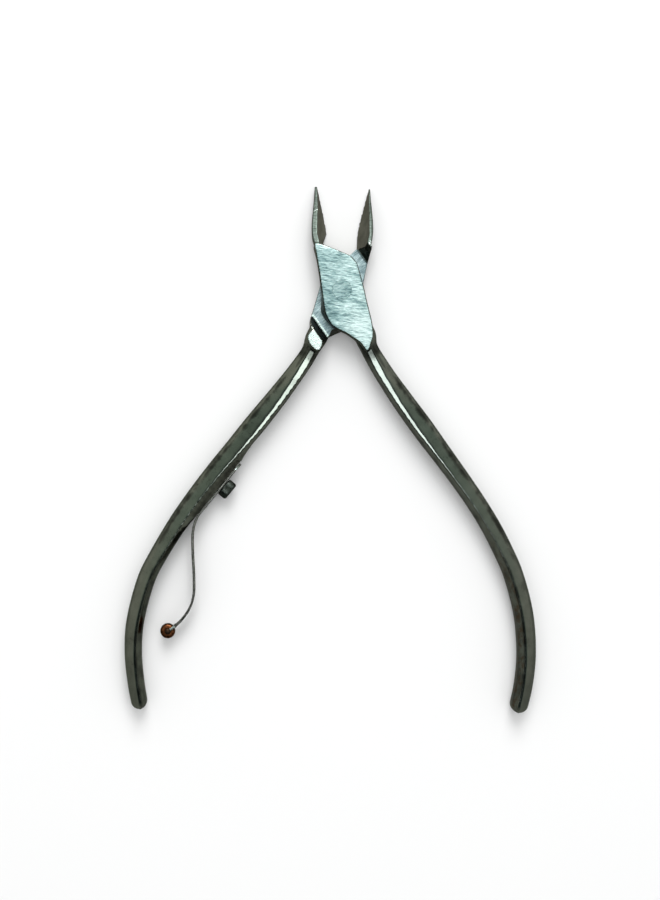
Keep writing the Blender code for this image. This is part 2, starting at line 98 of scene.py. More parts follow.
FACE = [
    (-5.45, 9.15), (-3.74, 8.79), (-1.68, 8.08), (0.14, 7.37), (1.15, 6.98),
    (1.75, 6.62), (2.77, 5.45), (3.20, 4.30), (3.62, 3.00), (4.05, 1.60),
    (4.45, 0.10), (4.90, -1.70), (5.50, -3.90), (6.05, -5.90), (6.38, -7.70),
    (6.40, -9.30), (6.05, -10.50), (5.80, -11.50), (5.25, -12.00), (4.55, -11.20),
    (3.70, -10.30), (2.65, -9.60), (1.16, -8.68), (-0.19, -8.06), (-1.21, -7.55),
    (-1.95, -6.95), (-2.65, -5.85), (-3.20, -4.70), (-3.52, -3.30), (-3.82, -1.50),
    (-4.17, 0.49), (-4.49, 2.48), (-4.80, 4.20), (-5.20, 6.20), (-5.50, 7.60),
    (-5.72, 8.60),
]
REAR_FACE = [(-5.45, 9.15), (-4.10, 8.80), (-2.75, 8.38), (-1.50, 7.25), (0.00, 6.85), (1.75, 6.40)] + FACE[6:13] + [
    (6.05, -5.90), (6.10, -7.60), (6.52, -9.30), (6.70, -10.40), (6.25, -11.60), (5.40, -12.40),
    (4.55, -12.65), (3.90, -12.00), (3.50, -10.80),
] + FACE[21:]
JAW = [
    (6.5, 2.90, 2.30, 1.50, 0.50, 6.60, 3.30),
    (8.0, 3.15, 2.30, 1.15, 0.45, 6.60, 3.30),
    (9.5, 3.30, 2.30, 0.75, 0.42, 6.50, 3.30),
    (10.6, 3.30, 2.35, 0.50, 0.40, 6.30, 3.20),
    (11.8, 3.20, 2.35, 0.22, 0.40, 6.00, 3.10),
    (13.0, 3.00, 2.15, 0.10, 0.42, 5.60, 2.90),
    (14.5, 2.62, 1.78, 0.05, 0.50, 5.00, 2.65),
    (16.0, 2.15, 1.40, 0.03, 0.60, 4.35, 2.40),
    (17.5, 1.64, 1.00, 0.03, 0.72, 3.62, 2.12),
    (19.0, 1.12, 0.64, 0.03, 0.88, 2.85, 1.85),
    (20.2, 0.74, 0.40, 0.03, 1.02, 2.25, 1.65),
    (21.0, 0.50, 0.27, 0.03, 1.14, 1.88, 1.50),
    (21.4, 0.36, 0.20, 0.03, 1.22, 1.65, 1.42),
]
LEAF_LINE = [
    (-28.00, -47.30), (-28.30, -49.00), (-28.34, -50.60), (-28.16, -53.80),
    (-27.90, -57.00), (-27.76, -60.20), (-27.85, -61.80), (-28.25, -63.40),
    (-29.00, -65.00), (-30.15, -66.60), (-31.35, -67.75),
]

# ---- tools --------------------------------------------------------------------------------


def table(rows, x):
    t = np.array(rows, float)
    xs, ys = t[:, 0], t[:, 1:]
    x = min(max(x, xs[0]), xs[-1])
    i = min(int(np.searchsorted(xs, x, side="right")) - 1, len(xs) - 2)
    h = np.diff(xs)
    d = np.diff(ys, axis=0) / h[:, None]
    m = np.zeros_like(ys)
    m[0], m[-1] = d[0], d[-1]
    for k in range(1, len(xs) - 1):
        same = d[k - 1] * d[k] > 0
        w1, w2 = 2 * h[k] + h[k - 1], h[k] + 2 * h[k - 1]
        with np.errstate(divide="ignore", invalid="ignore"):
            mean = (w1 + w2) / (w1 / d[k - 1] + w2 / d[k])
        m[k] = np.where(same, mean, 0.0)
    u = (x - xs[i]) / h[i]
    return (
        (2 * u**3 - 3 * u**2 + 1) * ys[i] + (u**3 - 2 * u**2 + u) * h[i] * m[i]
        + (-2 * u**3 + 3 * u**2) * ys[i + 1] + (u**3 - u**2) * h[i] * m[i + 1]
    )


class Line:
    def __init__(self, points, closed=False):
        p = np.array(points, float)
        p = np.vstack([p[-1], p, p[0], p[1]]) if closed else np.vstack([2 * p[0] - p[1], p, 2 * p[-1] - p[-2]])
        out = []
        for i in range(1, len(p) - 2):
            for u in np.linspace(0, 1, 24, endpoint=False):
                out.append(0.5 * (
                    2 * p[i] + (p[i + 1] - p[i - 1]) * u
                    + (2 * p[i - 1] - 5 * p[i] + 4 * p[i + 1] - p[i + 2]) * u * u
                    + (3 * p[i] - p[i - 1] - 3 * p[i + 1] + p[i + 2]) * u**3
                ))
        out.append(p[-2])
        self.p = np.array(out)
        self.s = np.concatenate([[0], np.cumsum(np.linalg.norm(np.diff(self.p, axis=0), axis=1))])
        self.length = float(self.s[-1])

    def at(self, s):
        return np.array([np.interp(s, self.s, self.p[:, k]) for k in range(2)])

    def tangent(self, s):
        d = self.at(min(s + 0.4, self.length)) - self.at(max(s - 0.4, 0))
        return d / np.linalg.norm(d)


def softened(corners, steps):
    out = []
    for i, (n, z, f) in enumerate(corners):
        c = np.array((n, z))
        a, b = np.array(corners[i - 1][:2]), np.array(corners[(i + 1) % len(corners)][:2])
        start, end = c + (a - c) * f, c + (b - c) * f
        for u in np.linspace(0, 1, steps + 1):
            out.append((1 - u) ** 2 * start + 2 * u * (1 - u) * c + u * u * end)
    return out


def bezier(a, c, b, steps):
    a, c, b = (np.array(v, float) for v in (a, c, b))
    return [(1 - u) ** 2 * a + 2 * u * (1 - u) * c + u * u * b for u in np.linspace(0, 1, steps + 1)]


def link(o):
    bpy.context.scene.collection.objects.link(o)
    return o


def from_bmesh(name, bm):
    bmesh.ops.recalc_face_normals(bm, faces=bm.faces)
    me = bpy.data.meshes.new(name)
    bm.to_mesh(me)
    bm.free()
    return link(bpy.data.objects.new(name, me))


def loft(name, rings, cap=True):
    bm = bmesh.new()
    rows = [[bm.verts.new(p) for p in ring] for ring in rings]
    for a, b in zip(rows, rows[1:]):
        for i in range(len(a)):
            j = (i + 1) % len(a)
            bm.faces.new((a[i], a[j], b[j], b[i]))
    if cap:
        bm.faces.new(rows[0][::-1])
        bm.faces.new(rows[-1])
    return from_bmesh(name, bm)


def prism(name, outline, z0, z1):
    return loft(name, [[(x, y, z0) for x, y in outline], [(x, y, z1) for x, y in outline]])


def final(o):
    """o with its modifiers applied, as a new mesh on the same object."""
    dg = bpy.context.evaluated_depsgraph_get()
    me = bpy.data.meshes.new_from_object(o.evaluated_get(dg))
    o.modifiers.clear()
    o.data = me
    return o


def boolean(o, cutter, operation="DIFFERENCE"):
    m = o.modifiers.new("b", "BOOLEAN")
    m.operation, m.solver, m.object = operation, "EXACT", cutter
    final(o)
    bpy.data.objects.remove(cutter)
    return o


def turned(name, profile, steps=64, scale=1.0):
    """A closed body turned about Z, profile of (radius, z) from the axis round to the axis."""
    rings, bm = [], bmesh.new()
    for r, z in profile:
        if r < 1e-9:
            rings.append([bm.verts.new((0, 0, z))])
        else:
            rings.append([
                bm.verts.new((r * math.cos(2 * math.pi * k / steps), r * math.sin(2 * math.pi * k / steps), z))
                for k in range(steps)
            ])
    for a, b in zip(rings, rings[1:]):
        for k in range(steps):
            j = (k + 1) % steps
            face = [a[0] if len(a) == 1 else a[k]]
            if len(b) > 1:
                face += [b[k], b[j]]
            else:
                face += [b[0]]
            if len(a) > 1:
                face.append(a[j])
            bm.faces.new(face)
    return from_bmesh(name, bm)


def rounded(profile, r, steps=5):
    """The profile with its inner corners rounded by about r."""
    out = [profile[0]]
    for a, c, b in zip(profile, profile[1:], profile[2:]):
        a, c, b = (np.array(v, float) for v in (a, c, b))
        la, lb = np.linalg.norm(a - c), np.linalg.norm(b - c)
        s, e = c + (a - c) * min(0.45, r / la), c + (b - c) * min(0.45, r / lb)
        out += [tuple((1 - u) ** 2 * s + 2 * u * (1 - u) * c + u * u * e) for u in np.linspace(0, 1, steps)]
    return out + [profile[-1]]


# ---- the two halves -----------------------------------------------------------------------


def handle_rings(side):
    line = Line(FRONT_LINE if side > 0 else REAR_LINE)
    body = np.linspace(0, line.length - END_ROUND, 260)
    ends = [line.length - END_ROUND * (1 - u) for u in (0.12, 0.25, 0.38, 0.5, 0.62, 0.73, 0.82, 0.9, 0.96, 0.99)]
    rng = np.random.default_rng(7 if side > 0 else 11)
    phase = rng.uniform(0, 2 * math.pi, 6)
    rings = []
    for s in [*body, *ends]:
        t, height, ridge, flat_top, flat, soft = table(HANDLE, s)
        extra = 0.0
        if side < 0:
            t *= float(table(REAR_SLIM, s)[0])
            extra = float(table(SEAT_BULGE, s)[0])
        h = height / 2
        lower = 0.9 if s > 6 else 0.9 * s / 6
        # hand-ground edges: the border of the top facet wanders, with a shallow dip every 3 mm
        fade = min(1, max(0, (s - 11) / 5)) * min(1, max(0, (60 - s) / 14))
        wave = (
            math.sin(2 * math.pi * s / 3.1 + phase[0]) * 0.55
            + math.sin(2 * math.pi * s / 1.9 + phase[1]) * 0.25
            + math.sin(2 * math.pi * s / 6.3 + phase[2]) * 0.35
        )
        inner = math.sin(2 * math.pi * s / 1.25 + phase[3]) * 0.6 + math.sin(2 * math.pi * s / 2.1 + phase[4]) * 0.4
        edge_n = t - 0.85 + 0.10 * wave * fade
        edge_z = h - lower
        early = min(1.0, max(0.0, (s - 8) / 3)) * min(1, max(0, (60 - s) / 14))
        r1 = ridge - flat_top / 2 + 0.06 * inner * early * (1.6 if side < 0 else 0.7)
        r2 = ridge + flat_top / 2 + 0.05 * wave * early
        tilt = 0.04 * flat_top
        corners = [
            (-t - extra, -flat, 0.22), (-t - extra, flat, 0.22),
            (r1, h - 0.02, min(0.4, soft)), (r2, h - tilt, 0.24),
            (edge_n, edge_z, 0.30), (t - 0.10, 1.70, 0.45), (t, 1.05, 0.45), (t, -1.15, 0.45),
            (t - 0.85, -h + lower, 0.45), (r2, -h + tilt, 0.24), (r1, -h + 0.02, min(0.4, soft)),
        ]
        u = max(0.0, (s - (line.length - END_ROUND)) / END_ROUND)
        narrow, low = math.sqrt(1 - u * u), math.sqrt(1 - (0.8 * u) ** 2)
        p, d = line.at(s), line.tangent(s)
        out = np.array((-d[1], d[0]))
        if out[0] * side < 0:
            out = -out
        ring = []
        for n, z in softened(corners, 5):
            q = p + out * n * narrow
            ring.append((q[0], q[1], min(max(MID + z * low, 0.0), THICK)))
        rings.append(ring)
    return rings


def jaw_rings(side):
    a = math.radians(JAW_OPEN[-side]) * -side
    rings = []
    reach = 21.65 if side < 0 else 21.4
    for r in np.linspace(6.5, reach, 110):
        w, rim, edge, ze, zr, zw = table(JAW, r - (reach - 21.4) * min(1.0, max(0.0, (r - 17.0) / 4.0)))
        if side < 0:
            edge += 0.32 * max(0.0, min(1.0, (12.0 - r) / 2.4))
            rim -= 0.04 * min(1.0, (21.4 - r) / 3.0)
            w += 0.20 * min(1.0, max(0.0, (r - 8.5) / 3.0))
        else:
            rim += 0.12 * min(1.0, (21.4 - r) / 3.0)
        outer = bezier((edge, ze), (w * 0.92, ze + 0.3 * (zw - ze)), (w, zw), 8)
        drop = 0.10 * (w - rim) + 0.02
        side_wall = [(w, zw + (zr - drop - 0.12 - zw) * k / 6) for k in range(7)]
        back = bezier(side_wall[-1], (w, zr - drop), (w - 0.08, zr - drop + 0.03), 3)
        strip = [((w - 0.08) + (rim - w + 0.08) * k / 6, (zr - drop + 0.03) + (drop - 0.03) * k / 6) for k in range(1, 7)]
        upper = [*side_wall[:-1], *back, *strip]
        hollow = bezier((rim, zr), (edge + 0.80 * (rim - edge), ze + 0.36 * (zr - ze)), (edge, ze), 12)
        ring = []
        for n, z in [*outer[:-1], *upper[:-1], *hollow[:-1]]:
            x = side * n
            ring.append((x * math.cos(a) - r * math.sin(a), x * math.sin(a) + r * math.cos(a), z))
        rings.append(ring)
    return rings


def slot_cutter(side):
    inward = 1 if side < 0 else -1
    z_lap = MID - inward * LAP_GAP / 2
    z_out = THICK + 1.0 if side < 0 else -1.0
    n = np.array((-side * SLOT_NORMAL[0], SLOT_NORMAL[1]))
    n = n / np.linalg.norm(n)
    along = np.array((-n[1], n[0]))
    up, down = (run / MID * abs(z_out - z_lap) for run in (RUN_UP, RUN_DOWN))
    corner = [
        (SLOT_UP - 0.25, z_lap), (SLOT_UP + 0.12, z_lap + inward * 0.10), (SLOT_UP + up, z_out),
        (-SLOT_DOWN - down, z_out), (-SLOT_DOWN - 0.03, z_lap + inward * 0.065), (-SLOT_DOWN + 0.62, z_lap),
    ]
    return loft("slot", [[(*(n * c + along * k), z) for c, z in corner] for k in (-16.0, 16.0)])


def seat_axes(off=0.0):
    u = Vector((*SEAT_DIR, 0)).normalized()
    m = Vector((-u.y, u.x, 0))
    x = Vector((0, 0, 1))
    p = Vector((*SEAT, MID)) + m * off
    return Matrix.Translation(p) @ Matrix((x, m.cross(x), m)).transposed().to_4x4()


def settle(o, rounds, fixed=None):
    """Takes the voxel ripple out without shrinking the shape."""
    me = o.data
    n = len(me.vertices)
    co = np.empty(n * 3)
    me.vertices.foreach_get("co", co)
    co = co.reshape(-1, 3)
    e = np.empty(len(me.edges) * 2, int)
    me.edges.foreach_get("vertices", e)
    e = e.reshape(-1, 2)
    count = np.bincount(e.ravel(), minlength=n).astype(float)[:, None]
    for k in range(rounds):
        for f in (0.55, -0.57):
            total = np.zeros_like(co)
            for c in range(3):
                total[:, c] = np.bincount(e[:, 0], weights=co[e[:, 1], c], minlength=n) + np.bincount(
                    e[:, 1], weights=co[e[:, 0], c], minlength=n
                )
            co += f * (total / count - co)
    me.vertices.foreach_set("co", co.ravel())
    return co


def rivet_profile(clear=0.0, over=0.0):
    r, head, flare = 1.5 + clear, 1.9 + clear, 0.45
    top = [(head, THICK + over), (head, THICK)] if over else [(head, THICK)]
    bottom = [(head, 0.0), (head, -over)] if over else [(head, 0.0)]
    return [(0, THICK + over), *top, (r, THICK - flare), (r, flare), *bottom, (0, -over)]


KNUCKLE = [
    (3.60, -10.05), (4.10, -9.25), (4.60, -8.55), (5.10, -8.02), (5.62, -7.98), (6.22, -8.52), (6.66, -9.35),
    (6.58, -10.25), (6.18, -11.05), (5.50, -11.80), (4.75, -12.28), (4.18, -12.22), (3.74, -11.62), (3.52, -10.80),
]


def knuckle(side):
    rim = Line(KNUCKLE, closed=True).p[::4]
    middle = rim.mean(axis=0)
    if side > 0:
        rim = (rim - middle) * 0.86 + middle + np.array((0.55, 0.25))
        middle = rim.mean(axis=0)
    rings = []
    for inset, depth in ((0.0, 3.2), (0.0, 0.16), (0.03, 0.07), (0.10, 0.02), (0.18, 0.0)):
        ring = []
        for x, y in rim:
            d = np.array((x, y)) - middle
            q = middle + d * (1 - inset / np.linalg.norm(d))
            ring.append((side * q[0], q[1], THICK - depth if side < 0 else depth))
        rings.append(ring)
    return loft("knuckle", rings)


def half(name, side, materials):
    face = Line(FACE if side > 0 else REAR_FACE, closed=True).p[::3]
    outline = [(side * x, y) for x, y in face]
    if side > 0:
        spread = []
        for x, y in face:
            k = max(0.0, 1 - abs(y + 4.2) / 3.6) if x < 0 else 0.0
            k = k * k * (3 - 2 * k)
            spread.append((x - 0.58 * k, y - 0.22 * k))
        lowered = [(y < -7.0) * 0.30 for x, y in face]
        o = loft(name, [
            [(x, y, d) for (x, y), d in zip(spread, lowered)], [(x, y, 3.3) for x, y in spread],
            [(x, y, THICK) for x, y in outline],
        ])
    else:
        # the side in the crotch slopes in from the back face to the lap
        drawn = []
        for x, y in face:
            k = max(0.0, 1 - math.hypot(x - 1.16, y + 8.68) / 2.6)
            k = k * k * (3 - 2 * k)
            drawn.append((-(x + 0.62 * k), y + 0.85 * k))
        o = loft(name, [[(x, y, 0.0) for x, y in outline], [(x, y, 0.35) for x, y in outline], [(x, y, MID) for x, y in drawn], [(x, y, THICK - (y < -4.0) * 0.30) for x, y in drawn]])
    boolean(o, loft("handle", handle_rings(side)), "UNION")
    boolean(o, knuckle(side), "UNION")
    boolean(o, loft("jaw", jaw_rings(-side)), "UNION")
    boolean(o, slot_cutter(side))
    if side < 0:
        block = loft("flat", [
            [(x, y, z) for x, y in ((-6, -SEAT_UP), (6, -SEAT_UP), (6, SEAT_DOWN), (-6, SEAT_DOWN))] for z in (0.0, 6.0)
        ])
        u = Vector((*SEAT_DIR, 0)).normalized()
        m = seat_axes()
        if (m.to_3x3() @ Vector((0, 1, 0))).dot(u) < 0:
            m = m @ Matrix.Scale(-1, 4, (0, 1, 0))
        block.data.transform(m)
        if m.determinant() < 0:
            block.data.flip_normals()
        boolean(o, block)
    bm = bmesh.new()
    bm.from_mesh(o.data)
    bmesh.ops.triangulate(bm, faces=bm.faces)
    exact = BVHTree.FromBMesh(bm)
    bm.free()
    m = o.modifiers.new("voxel", "REMESH")
    m.mode, m.voxel_size, m.adaptivity, m.use_smooth_shade = "VOXEL", VOXEL, 0.0, True
    final(o)
    co = settle(o, 7)
    # the long handle and the jaw are laid back on their smooth sections
    for i in np.nonzero((co[:, 1] < -13.2) | (co[:, 1] > 11.0))[0]:
        p = Vector(co[i])
        hit = exact.find_nearest(p)
        if hit[0] is not None:
            w = min(1.0, (-13.2 - p.y) / 2.0 if p.y < 0 else (p.y - 11.0) / 2.0)
            w = w * w * (3 - 2 * w)
            co[i] = np.array(p.lerp(hit[0], w))
    o.data.vertices.foreach_set("co", co.ravel())
    co = settle(o, 2)
    co[:, 2] = np.clip(co[:, 2], 0.0, THICK)
    o.data.vertices.foreach_set("co", co.ravel())
    boolean(o, turned("rivet_hole", rivet_profile(0.02, 1.0), 96))
    if side < 0:
        bore = turned("bore", [(0, 1.0), (SCREW_R + 0.03, 1.0), (SCREW_R + 0.03, -SCREW_LEN - 0.3), (0, -SCREW_LEN - 0.5)], 48)
        bore.data.transform(seat_axes())
        boolean(o, bore)
    me = o.data
    me.materials.clear()
    for mat in materials:
        me.materials.append(mat)
    # 0 polished, 1 ground flat, 2 hollow grinding, 3 lap
    count = len(me.polygons)
    c, nrm = np.empty(count * 3), np.empty(count * 3)
    me.polygons.foreach_get("center", c)
    me.polygons.foreach_get("normal", nrm)
    c, nrm = c.reshape(-1, 3), nrm.reshape(-1, 3)
    index = np.zeros(count, int)
    face_z, face_n = (THICK, 1.0) if side > 0 else (0.0, -1.0)
    ground = (abs(c[:, 2] - face_z) < 0.03) & (nrm[:, 2] * face_n > 0.985) & (c[:, 1] > -12.15) & (c[:, 1] < 11)
    lap_z = MID + (LAP_GAP / 2 if side > 0 else -LAP_GAP / 2)
    lap = (abs(c[:, 2] - lap_z) < 0.36) & (nrm[:, 2] * (-1 if side > 0 else 1) > 0.80) & (c[:, 1] > -11) & (c[:, 1] < 10)
    a = math.radians(JAW_OPEN[side]) * side
    # across the jaw, from the closing plane out
    across = (c[:, 0] * math.cos(a) + c[:, 1] * math.sin(a)) * -side
    along = -c[:, 0] * math.sin(a) + c[:, 1] * math.cos(a)
    inward = (nrm[:, 0] * math.cos(a) + nrm[:, 1] * math.sin(a)) * side
    rows = np.array([table(JAW, r) for r in np.clip(along, 6.5, 21.4)])
    hollow = (along > 8.2) & (inward > 0.30) & (across < rows[:, 1] - 0.02) & (c[:, 1] > 7.0)
    # the ground back of each jaw
    back = (along > 9.6) & (nrm[:, 2] > 0.55) & (across > rows[:, 1] - 0.12) & (c[:, 1] > 8.6) & ~hollow
    # the slot's two walls, painted dark as shade
    slot_n = np.array((-side * SLOT_NORMAL[0], SLOT_NORMAL[1]))
    reach = c[:, 0] * slot_n[0] + c[:, 1] * slot_n[1]
    beyond = (c[:, 2] - lap_z) * (-1 if side > 0 else 1)
    facing = nrm[:, 0] * slot_n[0] + nrm[:, 1] * slot_n[1]
    shaded_wall = (beyond > 0.10) & (
        ((reach > 6.6) & (facing < -0.35) & (reach < SLOT_UP + RUN_UP * beyond / MID + 0.25))
        | ((reach < -6.8) & (facing > 0.35) & (-reach < SLOT_DOWN + RUN_DOWN * beyond / MID + 0.25))
    )
    # painted highlight: the rounded run-out at the foot of the slot's SLOT_DOWN side takes a brighter steel
    fillet_highlight = (reach < -SLOT_DOWN + 0.60) & (reach > -SLOT_DOWN - 0.10) & (abs(c[:, 2] - lap_z) < 0.25) & (
        nrm[:, 2] * (-1 if side > 0 else 1) > 0.93) & (c[:, 1] < -4)
    if side > 0:
        # the front lap's left side is painted dark as shade as well
        shaded_wall |= (abs(nrm[:, 2]) < 0.94) & (c[:, 2] > lap_z + 0.1) & (c[:, 1] < 0.8) & (c[:, 1] > -8.6) & (c[:, 0] < -0.2)
    index[back] = 4
    index[ground] = 1
    # painted highlight: the small oval on the knuckle takes the brighter steel
    index[(abs(c[:, 2] - (THICK if side < 0 else 0.0)) < 0.05) & (nrm[:, 2] * -side > 0.96) & (c[:, 1] < -7.5) & (c[:, 1] > -13.2)] = 6
    index[lap] = 3
    index[shaded_wall] = 5
    index[hollow & ~shaded_wall] = 2
    index[fillet_highlight] = 7
    if side < 0:
        # painted highlight at the corner at the foot of the rear jaw's back
        index[back & (along < 11.0) & (across > rows[:, 0] - 0.50)] = 6
    else:
        # painted highlight: a thin line across the front jaw's back in the brighter steel
        index[back & (abs(along - 17.0 + 0.5 * (across - rows[:, 1])) < 0.13)] = 6
    me.polygons.foreach_set("material_index", index)
    # how far along and across the handle each point lies, for its polishing marks
    line = Line(FRONT_LINE if side > 0 else REAR_LINE)
    centre = line.p[::6]
    tangent = np.gradient(centre, axis=0)
    tangent /= np.linalg.norm(tangent, axis=1)[:, None]
    co = np.empty(len(me.vertices) * 3)
    me.vertices.foreach_get("co", co)
    co = co.reshape(-1, 3)
    along_v, across_v = np.zeros(len(co)), np.zeros(len(co))
    half_t = np.array([table(HANDLE, q)[0] * (table(REAR_SLIM, q)[0] if side < 0 else 1.0) for q in line.s[::6]])
    for a0 in range(0, len(co), 4000):
        part = co[a0 : a0 + 4000, :2]
        d = np.linalg.norm(part[:, None, :] - centre[None], axis=2)
        k = d.argmin(axis=1)
        off = part - centre[k]
        along_v[a0 : a0 + 4000] = line.s[::6][k] + (off * tangent[k]).sum(axis=1)
        across_v[a0 : a0 + 4000] = (-off[:, 0] * tangent[k, 1] + off[:, 1] * tangent[k, 0]) / half_t[k] * side
    for label, values in (("along", along_v), ("across", across_v)):
        me.attributes.new(label, "FLOAT", "POINT").data.foreach_set("value", values.astype(np.float32))
    me.transform(Matrix.Scale(MM, 4))
    me.shade_smooth()
    me.set_sharp_from_angle(angle=math.radians(40))
    me.update()
    return o


# ---- materials ----------------------------------------------------------------------------


class Nodes:
    """A material's node tree, with positions in millimetres in the part's frame."""

    def __init__(self, name):
        self.m = bpy.data.materials.new(name)
        self.m.use_nodes = True
        self.t = self.m.node_tree
        self.shader = self.t.nodes["Principled BSDF"]
        coord = self.t.nodes.new("ShaderNodeTexCoord")
        self.mm = self.vector("MULTIPLY", coord.outputs["Object"], (1000, 1000, 1000))

    def node(self, kind, **values):
        n = self.t.nodes.new(kind)
        for k, v in values.items():
            if k in n.inputs:
                n.inputs[k].default_value = v
            else:
                setattr(n, k, v)
        return n

    def join(self, a, b):
        self.t.links.new(a, b)

    def vector(self, operation, a, b):
        n = self.t.nodes.new("ShaderNodeVectorMath")
        n.operation = operation
        self.join(a, n.inputs[0])
        n.inputs[1].default_value = b
        return n.outputs[0]

    def mapped(self, scale, rotation=(0, 0, 0)):
        n = self.t.nodes.new("ShaderNodeMapping")
        n.vector_type = "TEXTURE"
        n.inputs["Rotation"].default_value = rotation
        n.inputs["Scale"].default_value = [1 / s for s in scale]
        self.join(self.mm, n.inputs["Vector"])
        return n.outputs[0]

    def noise(self, where, scale=1.0, detail=3.0, rough=0.5, distort=0.0):
        n = self.t.nodes.new("ShaderNodeTexNoise")
        n.inputs["Scale"].default_value = scale
        n.inputs["Detail"].default_value = detail
        n.inputs["Roughness"].default_value = rough
        n.inputs["Distortion"].default_value = distort
        self.join(where, n.inputs["Vector"])
        return n.outputs["Fac"]

    def ramp(self, fac, stops):
        n = self.t.nodes.new("ShaderNodeValToRGB")
        while len(n.color_ramp.elements) < len(stops):
            n.color_ramp.elements.new(0.5)
        for e, (pos, colour) in zip(n.color_ramp.elements, stops):
            e.position = pos
            e.color = (*colour, 1) if len(colour) == 3 else colour
        self.join(fac, n.inputs["Fac"])
        return n.outputs["Color"]

    def remap(self, fac, lo, hi, a=0.3, b=0.7):
        n = self.t.nodes.new("ShaderNodeMapRange")
        n.inputs["From Min"].default_value = a
        n.inputs["From Max"].default_value = b
        n.inputs["To Min"].default_value = lo
        n.inputs["To Max"].default_value = hi
        self.join(fac, n.inputs["Value"])
        return n.outputs["Result"]

    def math(self, operation, a, b):
        n = self.t.nodes.new("ShaderNodeMath")
        n.operation = operation
        for k, v in enumerate((a, b)):
            if isinstance(v, (int, float)):
                n.inputs[k].default_value = v
            else:
                self.join(v, n.inputs[k])
        return n.outputs[0]

    def bump(self, height, distance, strength=1.0, under=None):
        n = self.t.nodes.new("ShaderNodeBump")
        n.inputs["Strength"].default_value = strength
        n.inputs["Distance"].default_value = distance * MM
        self.join(height, n.inputs["Height"])
        if under is not None:
            self.join(under, n.inputs["Normal"])
        return n.outputs["Normal"]

    def set(self, **sockets):
        for k, v in sockets.items():
            socket = self.shader.inputs[k.replace("_", " ")]
            if isinstance(v, (int, float, tuple)):
                socket.default_value = v
            else:
                self.join(v, socket)
        return self.m


def polished_steel(name, tint=(0.40, 0.42, 0.38), dark_reflection_across=0.60, brown_patches=0.0):
    """Hand-polished steel, with a painted dark reflection in a band where one polished facet runs into the next, and
    painted shade on its darker parts.
    """
    n = Nodes(name)
    cloud = n.noise(n.mapped((0.35, 0.35, 0.35)), 1.0, 4.0, 0.55)
    streak = n.noise(n.mapped((3.0, 3.0, 3.0)), 1.0, 5.0, 0.65)
    lo, hi = tuple(v * 0.88 for v in tint), tuple(v * 1.10 for v in tint)
    along = n.node("ShaderNodeAttribute", attribute_name="along").outputs["Fac"]
    across = n.node("ShaderNodeAttribute", attribute_name="across").outputs["Fac"]
    run = n.node("ShaderNodeCombineXYZ")
    n.join(n.math("MULTIPLY", along, 0.36), run.inputs[0])
    n.join(n.math("MULTIPLY", across, 0.55), run.inputs[1])
    patch = n.noise(run.outputs[0], 1.0, 2.0, 0.5, 0.4)
    # painted dark reflection: a band round the facet's border, there between 11 and 60 mm down the handle
    near = n.math("ABSOLUTE", n.math("SUBTRACT", across, dark_reflection_across), 0.0)
    band = n.remap(near, 1.0, 0.0, 0.02, 0.34)
    span = n.math("MULTIPLY", n.remap(along, 0.0, 1.0, 10.0, 16.0), n.remap(along, 1.0, 0.0, 50.0, 64.0))
    dark = n.math("MULTIPLY", n.math("MULTIPLY", band, span), n.remap(patch, 0.30, 1.0, 0.36, 0.62))
    tone = n.math("SUBTRACT", cloud, n.math("MULTIPLY", dark, 0.50))
    # painted shade: darker just below the joint and along the inner side
    neck_shade = n.math("MULTIPLY", n.remap(along, 0.0, 1.0, 4.6, 6.4), n.remap(along, 1.0, 0.0, 7.6, 9.2))
    inner_side_shade = n.math("MULTIPLY", n.remap(across, 1.0, 0.0, -1.02, -0.74), n.remap(along, 1.0, 0.45, 45.0, 60.0))
    flecks = n.remap(n.noise(n.mapped((2.8, 2.8, 2.8)), 1.0, 3.0, 0.75), 0.0, 1.0, 0.54, 0.63)
    tone = n.math("SUBTRACT", tone, n.math("MULTIPLY", neck_shade, 0.36))
    tone = n.math("SUBTRACT", tone, n.math("MULTIPLY", inner_side_shade, 0.24))
    tone = n.math("SUBTRACT", tone, n.math("MULTIPLY", flecks, 0.19))
    # painted shade on the lower handle: darker on the inner half, with a painted dark reflection down the ridge
    low = n.remap(along, 0.0, 1.0, 44.0, 62.0)
    inner_half_shade = n.math("MULTIPLY", low, n.remap(across, 1.0, 0.0, -0.58, -0.26))
    ridge = n.remap(n.math("ABSOLUTE", n.math("ADD", across, 0.34), 0.0), 1.0, 0.0, 0.08, 0.24)
    ridge = n.math("MULTIPLY", n.math("MULTIPLY", low, ridge), n.remap(along, 1.0, 0.0, 90.0, 94.5))
    tone = n.math("SUBTRACT", tone, n.math("MULTIPLY", inner_half_shade, 0.15))
    tone = n.math("SUBTRACT", tone, n.math("MULTIPLY", ridge, 0.20))
    shade = tuple(v * 0.18 for v in tint)
    colour = n.ramp(tone, [(0.0, shade), (0.18, tuple(v * 0.42 for v in tint)), (0.36, lo), (0.7, hi)])
    if brown_patches:
        # brown patches on the inner half of the lower handle, laid over its painted shade
        patchy = n.remap(n.noise(n.mapped((0.8, 0.8, 0.8)), 1.0, 4.0, 0.7), 0.0, brown_patches, 0.47, 0.60)
        blend = n.t.nodes.new("ShaderNodeMix")
        blend.data_type = "RGBA"
        n.join(n.math("MULTIPLY", inner_half_shade, patchy), blend.inputs[0])
        n.join(colour, blend.inputs[6])
        blend.inputs[7].default_value = (0.20, 0.125, 0.075, 1)
        colour = blend.outputs[2]
    n.set(
        Base_Color=colour,
        Metallic=1.0,
        Roughness=n.remap(streak, 0.09, 0.17),
        Normal=n.bump(
            n.noise(n.mapped((9.0, 9.0, 9.0)), 1.0, 2.0, 0.5), 0.0010, 1.0,
            n.bump(n.noise(n.mapped((0.40, 0.40, 0.40)), 1.0, 1.0, 0.4), 0.022, 1.0),
        ),
    )
    return n.m


